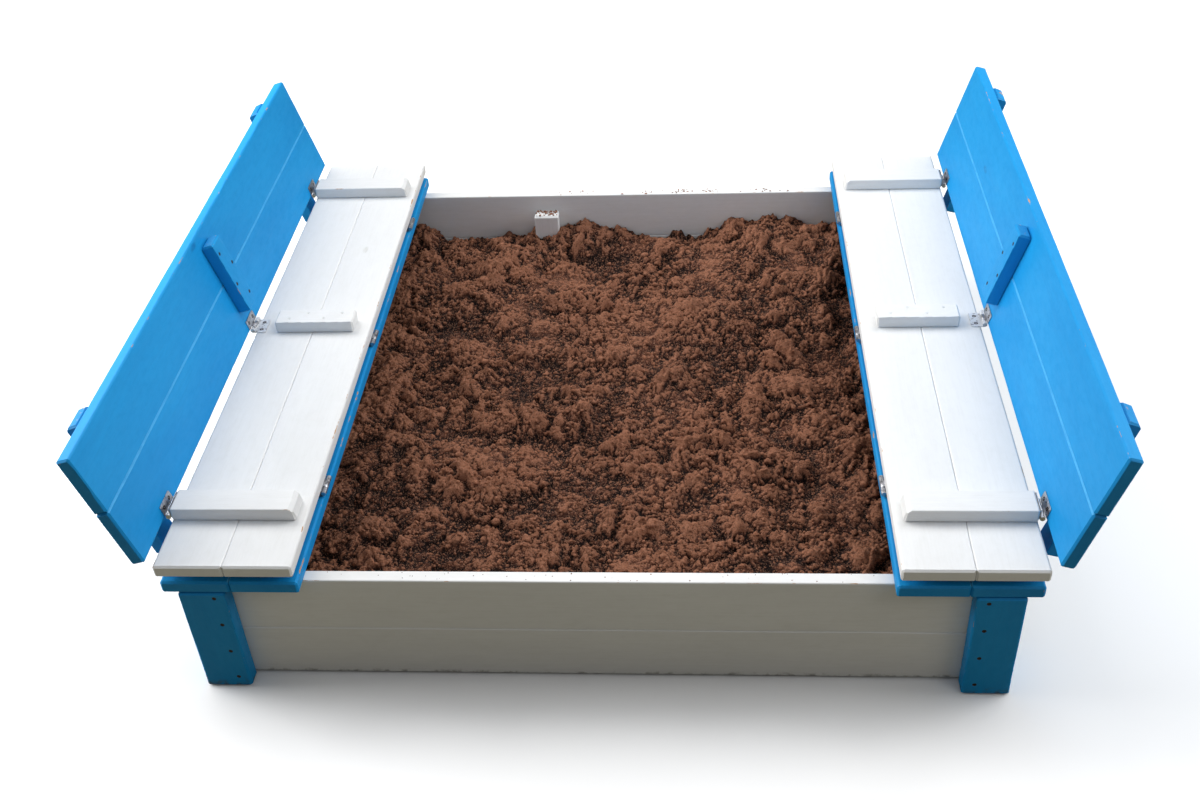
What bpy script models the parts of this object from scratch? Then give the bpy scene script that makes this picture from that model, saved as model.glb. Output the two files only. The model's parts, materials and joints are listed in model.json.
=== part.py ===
"""Wooden sandpit with two folding lid halves that open into bench seats with backrests.

Metres, +Z up. X runs from seat to seat, +Y is the back, and the origin is the middle of the
footprint on the ground. The pit stands open, which is its rest position.
"""

import math

import bmesh
import bpy
from mathutils import Matrix, Vector

# Driving dimensions
BOARD_THICKNESS = 0.0215
BATTEN_THICKNESS = 0.0213
GAP = 0.0003  # clearance between pieces that touch
LID_LENGTH = 1.2000  # boards of the seats, backrests and fixed shelves, along Y
SHELF_LENGTH = 1.1990
BACKREST_LENGTH = 1.1900
WALL_TOP = 0.2000
WALL_BOTTOM = 0.0030
EDGE_RADIUS = 0.0028
GROOVE_BAR = 0.0045  # side of the square bar that cuts a V groove

# Box: walls inside four corner legs
LEG_WIDTH = 0.0700
LEG_THICKNESS = 0.0280
LEG_OUTER_X = 0.6028
LEG_OUTER_Y = 0.6007
WALL_OUTER_X = LEG_OUTER_X - LEG_THICKNESS - GAP
WALL_OUTER_Y = LEG_OUTER_Y - LEG_THICKNESS - GAP
WALL_INNER_X = WALL_OUTER_X - BOARD_THICKNESS
WALL_INNER_Y = WALL_OUTER_Y - BOARD_THICKNESS

# Fixed shelves on the walls, and the seats that fold out over them
SHELF_INNER_X = 0.4227
SHELF_OUTER_X = 0.6249
SHELF_BOTTOM = WALL_TOP + GAP
SHELF_TOP = SHELF_BOTTOM + BOARD_THICKNESS
HINGE_GAP = 0.0102  # between a shelf and the open seat above it
SEAT_INNER_X = 0.4257
SEAT_OUTER_X = 0.6278
SEAT_BOTTOM = SHELF_TOP + HINGE_GAP
SEAT_TOP = SEAT_BOTTOM + BOARD_THICKNESS
SEAT_PIN = Vector((0.4235, 0.0, SHELF_TOP + HINGE_GAP / 2))

# Backrests: both faces lie PIN_RISE from the pin, so seat and backrest unfold into one plane
PIN_RISE = 0.0043
PIN_OUTSET = 0.0050  # from the seat's outer edge to the backrest's pin
BACKREST_PIN = Vector((SEAT_OUTER_X + PIN_OUTSET, 0.0, SEAT_TOP + PIN_RISE))
BACKREST_LEAN = math.radians(16.3)
BACKREST_HEIGHT = 0.2009

# Battens, as ranges of |x|, |y| or height up the backrest
END_BATTEN_X = (0.4390, SEAT_OUTER_X)
END_BATTEN_Y = (0.4580, 0.5030)
MID_BATTEN_X = (0.4520, 0.5910)
MID_BATTEN_WIDTH = 0.0390
BACK_MID_BATTEN_UP = (0.0390, 0.1770)
REAR_BATTEN_Y = (0.4660, 0.5120)
REAR_BATTEN_UP = (-0.0550, 0.1995)

# Cleat that joins the two back wall boards from inside
CLEAT_X = (-0.1930, -0.1430)
CLEAT_THICKNESS = 0.0280
CLEAT_TOP = 0.1655
CLEAT_BOTTOM = 0.0150

# Hinges, 40 mm long with three knuckles
HINGE_LENGTH = 0.0400
HINGE_MID_LENGTH = 0.0134  # the middle knuckle, with its play
KNUCKLE_RADIUS = 0.0040
PIN_RADIUS = 0.0015
BORE_RADIUS = 0.0016
LEAF_THICKNESS = 0.0012
LEAF_START = 0.0034  # where a leaf's plate begins, clear of the other leaf's knuckles
NECK_OVERLAP = 0.0010
PIN_INSET = 0.0010
LEAF_LENGTH = 0.0200
SEAT_TOP_LEAF_LENGTH = 0.0220
BATTEN_END_LEAF_LENGTH = 0.0165
SEAT_HINGE_Y = (-0.3950, 0.0, 0.3950)
BACKREST_HINGE_Y = (-0.4805, 0.0, 0.4805)
ROUND_SEGMENTS = 16

# Sand: a gently uneven fill, higher in the back right corner
SAND_CELLS = 26
SAND_LEVEL = 0.1060
SAND_RIPPLE = 0.0060
SAND_MOUND = 0.0300
SAND_MOUND_CENTRE = Vector((0.33, 0.42))
SAND_MOUND_SPREAD = 0.24
SAND_WALL_GAP = 0.0010
SAND_BOTTOM = 0.0010

SIDES = {"left": -1, "right": 1}
ENDS = {"front": -1, "back": 1}


def clear_scene():
    for obj in list(bpy.data.objects):
        bpy.data.objects.remove(obj, do_unlink=True)


def principled(name, colour, roughness, metallic=0.0):
    made = bpy.data.materials.new(name)
    made.use_nodes = True
    shader = made.node_tree.nodes["Principled BSDF"]
    shader.inputs["Base Color"].default_value = (*colour, 1.0)
    shader.inputs["Roughness"].default_value = roughness
    shader.inputs["Metallic"].default_value = metallic
    return made


def new_collection(name):
    made = bpy.data.collections.new(name)
    bpy.context.scene.collection.children.link(made)
    return made


def place(name, data, matrix, material, parent=None):
    """A sub-part from mesh or curve data, at a matrix in its parent's frame."""
    obj = bpy.data.objects.new(name, data)
    PARTS.objects.link(obj)
    obj.parent = parent
    obj.matrix_local = matrix
    data.materials.clear()
    data.materials.append(material)
    return obj


def axis_empty(name, position, turn=0.0, parent=None):
    """An empty on a hinge axis, turned about Y."""
    obj = bpy.data.objects.new(name, None)
    obj.empty_display_size = 0.05
    PARTS.objects.link(obj)
    obj.parent = parent
    origin = parent.matrix_world.translation if parent else Vector()
    obj.location = position - origin
    obj.rotation_euler = (0.0, turn, 0.0)
    bpy.context.view_layer.update()
    return obj


def ordered(a, b):
    return (min(a, b), max(a, b))


def mirrored(span, side):
    """A range of |x| or |y| on the given side, -1 or 1."""
    return ordered(span[0] * side, span[1] * side)


def board(name, x, y, z, material, parent=None, world=True):
    """A box over three ranges, with rounded edges. World ranges are moved into the parent's frame."""
    size = Vector((x[1] - x[0], y[1] - y[0], z[1] - z[0]))
    centre = Vector((sum(x), sum(y), sum(z))) / 2
    if parent and world:
        centre -= parent.matrix_world.translation
    shape = bmesh.new()
    bmesh.ops.create_cube(shape, size=1.0, matrix=Matrix.Diagonal((*size, 1.0)))
    mesh = bpy.data.meshes.new(name)
    shape.to_mesh(mesh)
    shape.free()
    obj = place(name, mesh, Matrix.Translation(centre), material, parent)
    rounding = obj.modifiers.new("rounded_edges", "BEVEL")
    rounding.width = min(EDGE_RADIUS, min(size) / 4)
    rounding.segments = 2
    rounding.limit_method = "ANGLE"
    return obj


def boolean(obj, name, operation, other):
    modifier = obj.modifiers.new(name, "BOOLEAN")
    modifier.operation = operation
    modifier.solver = "EXACT"
    modifier.object = other


def split(span, gap):
    """Two equal ranges that fill a span, a gap apart."""
    middle = sum(span) / 2
    return ((span[0], middle - gap / 2), (middle + gap / 2, span[1]))


def walls():
    heights = dict(zip(("lower", "upper"), split((WALL_BOTTOM, WALL_TOP), GAP)))
    for level, z in heights.items():
        for end, sign in ENDS.items():
            x = (-WALL_OUTER_X + GAP, WALL_OUTER_X - GAP)
            y = mirrored((WALL_INNER_Y, WALL_OUTER_Y), sign)
            board(f"wall_{end}_{level}", x, y, z, WHITE_PAINT)
        for side, sign in SIDES.items():
            x = mirrored((WALL_INNER_X, WALL_OUTER_X), sign)
            y = (-WALL_INNER_Y + GAP, WALL_INNER_Y - GAP)
            board(f"wall_{side}_{level}", x, y, z, WHITE_PAINT)


def corner_leg(name, side, end):
    """An L of two boards: one across the end of a front or back wall, one along the side wall."""
    inner_x = LEG_OUTER_X - LEG_WIDTH
    side_x = LEG_OUTER_X - LEG_THICKNESS
    board_y = LEG_OUTER_Y - LEG_THICKNESS
    end_y = board_y - LEG_WIDTH
    outline = (
        (inner_x, LEG_OUTER_Y),
        (LEG_OUTER_X, LEG_OUTER_Y),
        (LEG_OUTER_X, end_y),
        (side_x, end_y),
        (side_x, board_y),
        (inner_x, board_y),
    )
    curve = bpy.data.curves.new(name, "CURVE")
    curve.dimensions = "2D"
    curve.fill_mode = "BOTH"
    curve.extrude = WALL_TOP / 2
    spline = curve.splines.new("POLY")
    spline.points.add(len(outline) - 1)
    for point, (x, y) in zip(spline.points, outline):
        point.co = (x * side, y * end, 0.0, 1.0)
    spline.use_cyclic_u = True
    place(name, curve, Matrix.Translation((0, 0, WALL_TOP / 2)), BLUE_PAINT)


def legs():
    for end, y_sign in ENDS.items():
        for side, x_sign in SIDES.items():
            corner_leg(f"leg_{end}_{side}", x_sign, y_sign)


def add_groove_bar(shape):
    """A square bar on edge along Y, whose lower corner cuts a V groove."""
    turn = Matrix.Rotation(math.radians(45), 4, "Y")
    size = Matrix.Diagonal((GROOVE_BAR, LID_LENGTH * 1.1, GROOVE_BAR, 1.0))
    bmesh.ops.create_cube(shape, size=1.0, matrix=turn @ size)


def shelves():
    """The fixed boards under the seats, tongued together so that each pair is one panel."""
    for side, sign in SIDES.items():
        x = mirrored((SHELF_INNER_X, SHELF_OUTER_X), sign)
        y = (-SHELF_LENGTH / 2, SHELF_LENGTH / 2)
        shelf = board(f"shelf_{side}", x, y, (SHELF_BOTTOM, SHELF_TOP), BLUE_PAINT)
        bar = hidden_piece(f"shelf_{side}_groove", add_groove_bar)
        bar.location = (sum(x) / 2, 0.0, SHELF_TOP)
        boolean(shelf, "joint_groove", "DIFFERENCE", bar)


def seat(side, sign, hinge):
    y = (-LID_LENGTH / 2, LID_LENGTH / 2)
    z = (SEAT_BOTTOM, SEAT_TOP)
    halves = split((SEAT_INNER_X, SEAT_OUTER_X), GAP)
    for place_name, span in zip(("inner", "outer"), halves):
        board(f"seat_{side}_{place_name}", mirrored(span, sign), y, z, WHITE_PAINT, hinge)

    batten_z = (SEAT_TOP + GAP, SEAT_TOP + GAP + BATTEN_THICKNESS)
    for end, y_sign in ENDS.items():
        batten_y = mirrored(END_BATTEN_Y, y_sign)
        batten_x = mirrored(END_BATTEN_X, sign)
        board(f"seat_batten_{side}_{end}", batten_x, batten_y, batten_z, WHITE_PAINT, hinge)
    middle_y = (-MID_BATTEN_WIDTH / 2, MID_BATTEN_WIDTH / 2)
    middle_x = mirrored(MID_BATTEN_X, sign)
    board(f"seat_batten_{side}_middle", middle_x, middle_y, batten_z, WHITE_PAINT, hinge)


def backrest(side, sign, hinge):
    """Boards and battens in the hinge's leaning frame: X outwards, Z up the backrest."""
    y = (-BACKREST_LENGTH / 2, BACKREST_LENGTH / 2)
    front = PIN_RISE
    rear = PIN_RISE + BOARD_THICKNESS
    for place_name, up in zip(("lower", "upper"), split((0.0, BACKREST_HEIGHT), GAP)):
        name = f"backrest_{side}_{place_name}"
        board(name, mirrored((front, rear), sign), y, up, BLUE_PAINT, hinge, world=False)

    x = mirrored((front - GAP - BATTEN_THICKNESS, front - GAP), sign)
    middle_y = (-MID_BATTEN_WIDTH / 2, MID_BATTEN_WIDTH / 2)
    name = f"backrest_batten_{side}_middle"
    board(name, x, middle_y, BACK_MID_BATTEN_UP, BLUE_PAINT, hinge, world=False)

    x = mirrored((rear + GAP, rear + GAP + BATTEN_THICKNESS), sign)
    for end, y_sign in ENDS.items():
        batten_y = mirrored(REAR_BATTEN_Y, y_sign)
        name = f"backrest_batten_{side}_{end}"
        board(name, x, batten_y, REAR_BATTEN_UP, BLUE_PAINT, hinge, world=False)


def add_box(shape, x, y, z):
    size = (x[1] - x[0], y[1] - y[0], z[1] - z[0], 1.0)
    centre = Vector((sum(x), sum(y), sum(z))) / 2
    matrix = Matrix.Translation(centre) @ Matrix.Diagonal(size)
    bmesh.ops.create_cube(shape, size=1.0, matrix=matrix)


def add_rod(shape, radius, y):
    """A cylinder about the Y axis."""
    turn = Matrix.Rotation(math.radians(90), 4, "X")
    matrix = Matrix.Translation((0.0, sum(y) / 2, 0.0)) @ turn
    bmesh.ops.create_cone(
        shape,
        cap_ends=True,
        segments=ROUND_SEGMENTS,
        radius1=radius,
        radius2=radius,
        depth=y[1] - y[0],
        matrix=matrix,
    )


def hidden_piece(name, add, *sizes):
    """A helper solid for a Boolean, kept out of the render."""
    shape = bmesh.new()
    add(shape, *sizes)
    mesh = bpy.data.meshes.new(name)
    shape.to_mesh(mesh)
    shape.free()
    obj = bpy.data.objects.new(name, mesh)
    obj.hide_render = True
    obj.display_type = "WIRE"
    CUTTERS.objects.link(obj)
    return obj


def leaf_mesh(name, length, offset, outer_knuckles):
    """One hinge leaf. The pin runs along Y through the origin and the plate along +X, and the
    plate's back, which lies on the wood, is at Z = offset."""
    half = HINGE_LENGTH / 2
    middle = HINGE_MID_LENGTH / 2
    if outer_knuckles:
        knuckles = ((-half, -middle - GAP), (middle + GAP, half))
    else:
        knuckles = ((-middle, middle),)
    z = (offset - LEAF_THICKNESS, offset)

    plate = hidden_piece(f"{name}_plate", add_box, (LEAF_START, length), (-half, half), z)
    joined = []
    for number, y in enumerate(knuckles):
        neck_x = (0.0, LEAF_START + NECK_OVERLAP)
        joined.append(hidden_piece(f"{name}_neck_{number}", add_box, neck_x, y, z))
        joined.append(hidden_piece(f"{name}_knuckle_{number}", add_rod, KNUCKLE_RADIUS, y))
    if outer_knuckles:
        pin_y = (-half + PIN_INSET, half - PIN_INSET)
        joined.append(hidden_piece(f"{name}_pin", add_rod, PIN_RADIUS, pin_y))
    for number, piece in enumerate(joined):
        boolean(plate, f"join_{number}", "UNION", piece)
    helpers = [plate, *joined]
    if not outer_knuckles:
        bore = hidden_piece(f"{name}_bore", add_rod, BORE_RADIUS, (-half, half))
        boolean(plate, "bore", "DIFFERENCE", bore)
        helpers.append(bore)

    bpy.context.view_layer.update()
    graph = bpy.context.evaluated_depsgraph_get()
    mesh = bpy.data.meshes.new_from_object(plate.evaluated_get(graph))
    mesh.name = name
    mesh.shade_smooth()
    mesh.set_sharp_from_angle(angle=math.radians(40))
    for helper in helpers:
        bpy.data.objects.remove(helper, do_unlink=True)
    return mesh


def hinge_leaf(name, mesh, position, along, wood_side, parent=None):
    """A leaf at a world position, its plate running along one direction, wood behind it in another."""
    along = Vector(along).normalized()
    wood_side = Vector(wood_side).normalized()
    axis = wood_side.cross(along)
    turn = Matrix((along, axis, wood_side)).transposed().to_4x4()
    matrix = Matrix.Translation(position) @ turn
    if parent:
        matrix = parent.matrix_world.inverted() @ matrix
    return place(name, mesh, matrix, ZINC, parent)


def hinges(side, sign, seat_frame, backrest_frame):
    outward = Vector((sign, 0.0, 0.0))
    up = Vector((0.0, 0.0, 1.0))
    backrest_up = Vector((sign * math.sin(BACKREST_LEAN), 0.0, math.cos(BACKREST_LEAN)))
    backrest_out = Vector((sign * math.cos(BACKREST_LEAN), 0.0, -math.sin(BACKREST_LEAN)))
    positions = ("front", "middle", "back")

    for where, y in zip(positions, SEAT_HINGE_Y):
        pin = Vector((SEAT_PIN.x * sign, y, SEAT_PIN.z))
        name = f"seat_hinge_{side}_{where}"
        hinge_leaf(f"{name}_shelf_leaf", LEAVES["seat_fixed"], pin, outward, -up)
        hinge_leaf(f"{name}_seat_leaf", LEAVES["seat_moving"], pin, outward, up, seat_frame)

    for where, y in zip(positions, BACKREST_HINGE_Y):
        pin = Vector((BACKREST_PIN.x * sign, y, BACKREST_PIN.z))
        name = f"backrest_hinge_{side}_{where}"
        if where == "middle":
            leaf = (LEAVES["seat_top"], pin, -outward, -up)
        else:
            leaf = (LEAVES["batten_end"], pin, up, -outward)
        hinge_leaf(f"{name}_seat_leaf", *leaf, seat_frame)
        leaf = (LEAVES["backrest"], pin, backrest_up, backrest_out)
        hinge_leaf(f"{name}_back_leaf", *leaf, backrest_frame)


def lids():
    for side, sign in SIDES.items():
        pin = Vector((SEAT_PIN.x * sign, 0.0, SEAT_PIN.z))
        seat_frame = axis_empty(f"seat_{side}_axis", pin)
        pin = Vector((BACKREST_PIN.x * sign, 0.0, BACKREST_PIN.z))
        lean = BACKREST_LEAN * sign
        backrest_frame = axis_empty(f"backrest_{side}_axis", pin, lean, seat_frame)
        seat(side, sign, seat_frame)
        backrest(side, sign, backrest_frame)
        hinges(side, sign, seat_frame, backrest_frame)


def back_cleat():
    y = (WALL_INNER_Y - GAP - CLEAT_THICKNESS, WALL_INNER_Y - GAP)
    board("wall_back_cleat", CLEAT_X, y, (CLEAT_BOTTOM, CLEAT_TOP), WHITE_PAINT)


def sand_height(x, y):
    ripple = math.sin(11 * x + 3 * y) * math.cos(9 * y - 4 * x)
    away = (Vector((x, y)) - SAND_MOUND_CENTRE).length / SAND_MOUND_SPREAD
    return SAND_LEVEL + SAND_RIPPLE * ripple + SAND_MOUND * math.exp(-away * away)


def cleat_notch():
    """The room that the back wall's cleat takes out of the sand."""
    x = (CLEAT_X[0] - SAND_WALL_GAP, CLEAT_X[1] + SAND_WALL_GAP)
    y = (WALL_INNER_Y - CLEAT_THICKNESS - 2 * SAND_WALL_GAP, WALL_INNER_Y + SAND_WALL_GAP)
    return hidden_piece("sand_cleat_notch", add_box, x, y, (-WALL_TOP, WALL_TOP))


def sand():
    half_x = WALL_INNER_X - SAND_WALL_GAP
    half_y = WALL_INNER_Y - SAND_WALL_GAP
    shape = bmesh.new()
    matrix = Matrix.Diagonal((half_x, half_y, 1.0, 1.0))
    bmesh.ops.create_grid(
        shape, x_segments=SAND_CELLS, y_segments=SAND_CELLS, size=1.0, matrix=matrix
    )
    top = list(shape.faces)
    made = bmesh.ops.extrude_face_region(shape, geom=top)["geom"]
    surface = [v for v in made if isinstance(v, bmesh.types.BMVert)]
    for vertex in shape.verts:
        vertex.co.z = SAND_BOTTOM
    for vertex in surface:
        vertex.co.z = sand_height(vertex.co.x, vertex.co.y)
    bmesh.ops.recalc_face_normals(shape, faces=shape.faces)
    mesh = bpy.data.meshes.new("sand_fill")
    shape.to_mesh(mesh)
    shape.free()
    fill = place("sand_fill", mesh, Matrix(), SAND)
    boolean(fill, "cleat_notch", "DIFFERENCE", cleat_notch())


clear_scene()
PARTS = new_collection("sandpit")
CUTTERS = new_collection("cutters")
CUTTERS.hide_render = True

WHITE_PAINT = principled("white_paint", (0.76, 0.79, 0.82), 0.55)
BLUE_PAINT = principled("blue_paint", (0.03, 0.26, 0.68), 0.50)
ZINC = principled("zinc", (0.62, 0.63, 0.65), 0.35, 1.0)
SAND = principled("sand", (0.10, 0.045, 0.025), 0.95)

LEAVES = {
    "seat_fixed": leaf_mesh("seat_fixed_leaf", LEAF_LENGTH, HINGE_GAP / 2 - GAP, True),
    "seat_moving": leaf_mesh("seat_moving_leaf", LEAF_LENGTH, HINGE_GAP / 2 - GAP, False),
    "seat_top": leaf_mesh("seat_top_leaf", SEAT_TOP_LEAF_LENGTH, PIN_RISE - GAP, True),
    "batten_end": leaf_mesh("batten_end_leaf", BATTEN_END_LEAF_LENGTH, PIN_OUTSET - GAP, True),
    "backrest": leaf_mesh("backrest_leaf", LEAF_LENGTH, PIN_RISE - GAP, False),
}

walls()
legs()
shelves()
back_cleat()
sand()
lids()
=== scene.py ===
import json
import math

import bmesh
import bpy
import numpy as np
from mathutils import Matrix, Vector, noise
from mathutils.bvhtree import BVHTree

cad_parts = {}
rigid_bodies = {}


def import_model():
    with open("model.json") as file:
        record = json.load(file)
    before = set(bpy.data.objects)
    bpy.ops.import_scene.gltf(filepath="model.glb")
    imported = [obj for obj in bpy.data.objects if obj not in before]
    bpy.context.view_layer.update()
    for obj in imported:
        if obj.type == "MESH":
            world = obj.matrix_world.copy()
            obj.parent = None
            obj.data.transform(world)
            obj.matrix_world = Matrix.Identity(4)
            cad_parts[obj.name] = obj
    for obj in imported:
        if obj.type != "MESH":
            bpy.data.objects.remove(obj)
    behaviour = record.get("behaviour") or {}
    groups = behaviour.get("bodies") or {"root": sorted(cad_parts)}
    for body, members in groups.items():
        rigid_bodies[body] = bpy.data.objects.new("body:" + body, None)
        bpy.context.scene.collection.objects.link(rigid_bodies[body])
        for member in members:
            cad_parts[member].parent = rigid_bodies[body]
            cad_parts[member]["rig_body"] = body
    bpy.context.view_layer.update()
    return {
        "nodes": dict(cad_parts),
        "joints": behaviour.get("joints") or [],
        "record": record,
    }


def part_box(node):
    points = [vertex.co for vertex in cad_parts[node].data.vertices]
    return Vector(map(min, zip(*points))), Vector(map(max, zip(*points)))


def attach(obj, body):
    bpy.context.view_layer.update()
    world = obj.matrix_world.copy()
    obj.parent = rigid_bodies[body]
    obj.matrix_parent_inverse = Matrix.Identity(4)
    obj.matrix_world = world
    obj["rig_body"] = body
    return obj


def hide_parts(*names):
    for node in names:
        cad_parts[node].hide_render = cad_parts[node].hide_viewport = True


# Looks of the wooden sandpit: painted boards, zinc hinges, screws and loose sand, built around
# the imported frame. Metres, +Z up, in the frame's own axes.

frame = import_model()

SIDES = {"left": -1, "right": 1}
ENDS = {"front": -1, "back": 1}

# Boards
LONG_EDGE_RADIUS = 0.0042
END_EDGE_RADIUS = 0.0030
BATTEN_EDGE_RADIUS = 0.0018
VEE_DEPTH = 0.0026  # chamfer on the lower board of a V joint
UPPER_VEE_DEPTH = 0.0007
SEAT_VEE_DEPTH = 0.0015
JOINT_HIGHLIGHT_REACH = 0.0004  # how far the painted highlight reaches beside a V joint
SMALLEST_EDGE = 0.0004
UNEVEN = {"vee": 0.45, "round": 0.25}  # share by which an edge's size wanders along a board
PAST_CHAMFER = (0.0003, 0.0020)  # two sections beyond a chamfer, which keep its shading crisp
ARC_STEPS = 4
STATION_SPACING = 0.024
ACROSS_SPACING = 0.013
MOST_SHRINK = 0.00022  # boards are never larger than their solids
SMOOTH_ANGLE = math.radians(34)
WALL_EDGE_RADIUS = 0.0025
SEAT_BATTEN_CHAMFER = 0.0095
BACK_BATTEN_CHAMFER = 0.0070
LEG_BOARD_WIDTH = 0.0700
BOARD_GAP = 0.0003
SOIL_HEIGHT = 0.016  # of the splashes above the ground

# Screws
HEAD_RADIUS = 0.0034
HEAD_DEPTH = 0.0024
HEAD_SINK = 0.0005  # below the wood
CROSS_LENGTH = 0.0040
CROSS_WIDTH = 0.0008
CROSS_DEPTH = 0.0012
LEG_SCREW_HEIGHTS = (0.190, 0.135, 0.078, 0.021)
LEG_SCREW_INSET = 0.0175
BATTEN_SCREW_COUNT = 4
SEAT_SCREW_INSET = 0.024
SEAT_SCREW_STAGGER = 0.0085
BACK_SCREW_INSET = 0.022
BACK_SCREW_STAGGER = 0.0115

# Hinges, whose sizes come from the solids
KNUCKLE_RADIUS = 0.0039
LEAF_THICKNESS = 0.0012
LEAF_CORNER = 0.0025
LEAF_SCREW_PROUD = 0.0007
ROUND_SEGMENTS = 28
FEWEST_HOLE_POINTS = 15  # that a hole which came out right adds to a board

# Sand
SAND_STEP = 0.0024
SAND_HIDDEN_STEP = 0.0120
SEEN_UNDER_SHELF = 0.047
LOOSE_UNDER_SHELF = 0.040
SHELTER_START = 0.466  # beyond this the shelves shelter the sand, and it lies smooth
SHELTER_FADE = 0.035
DUG_SHARE = 1.35
MEAN_RELIEF = 0.0130
WALL_FLAKE = 0.06  # share of its height that sand on the wall tops keeps, under the closed lid
CLEAT_STAIN_HEIGHT = 0.1645
CLOD_COUNT = 900
CRUMB_COUNT = 9500

# Floor and camera
FLOOR_REACH = 14.0
FLOOR_GAP = 0.0004
CAMERA_PLACE = (0.1527, -1.9256, 1.5795)
CAMERA_ANGLES = (5.4018, -37.6879, -3.5544)  # yaw, pitch and roll in degrees
CAMERA_LENS = 40.36

COLLECTION = bpy.data.collections.new("sandpit_looks")
bpy.context.scene.collection.children.link(COLLECTION)


# ---------------------------------------------------------------- shaders


class Shader:
    """One material's nodes. An input is a number, a vector, a colour or another node's output."""

    def __init__(self, name):
        self.material = bpy.data.materials.new(name)
        self.material.use_nodes = True
        self.tree = self.material.node_tree
        self.surface = self.tree.nodes["Principled BSDF"]

    def feed(self, socket, value):
        if isinstance(value, bpy.types.NodeSocket):
            self.tree.links.new(value, socket)
        else:
            socket.default_value = value

    def node(self, kind, inputs=(), output=0, **settings):
        made = self.tree.nodes.new(f"ShaderNode{kind}")
        for key, value in settings.items():
            setattr(made, key, value)
        for key, value in dict(inputs).items():
            self.feed(made.inputs[key], value)
        return made.outputs[output]

    def attribute(self, name, output="Fac"):
        return self.node("Attribute", output=output, attribute_name=name)

    def math(self, operation, a, b=0.0):
        return self.node("Math", {0: a, 1: b}, operation=operation)

    def stretched(self, vector, scale):
        return self.node("VectorMath", {0: vector, 1: scale}, operation="MULTIPLY")

    def noise(self, vector, scale=1.0, detail=2.0, roughness=0.5, distortion=0.0):
        inputs = {
            "Vector": vector,
            "Scale": scale,
            "Detail": detail,
            "Roughness": roughness,
            "Distortion": distortion,
        }
        return self.node("TexNoise", inputs)

    def cells(self, vector, scale=1.0, output="Distance"):
        return self.node("TexVoronoi", {"Vector": vector, "Scale": scale}, output=output)

    def ramp(self, value, low, high, to_low=0.0, to_high=1.0):
        inputs = {0: value, 1: low, 2: high, 3: to_low, 4: to_high}
        return self.node("MapRange", inputs, interpolation_type="SMOOTHSTEP")

    def mix(self, factor, a, b):
        return self.node("Mix", {0: factor, 6: a, 7: b}, output=2, data_type="RGBA")

    def bump(self, height, distance, normal=None):
        inputs = {"Height": height, "Distance": distance, "Strength": 1.0}
        if normal is not None:
            inputs["Normal"] = normal
        return self.node("Bump", inputs)

    def set(self, **inputs):
        for key, value in inputs.items():
            self.feed(self.surface.inputs[key.replace("_", " ").title()], value)


def colour(red, green, blue):
    return (red, green, blue, 1.0)


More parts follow.
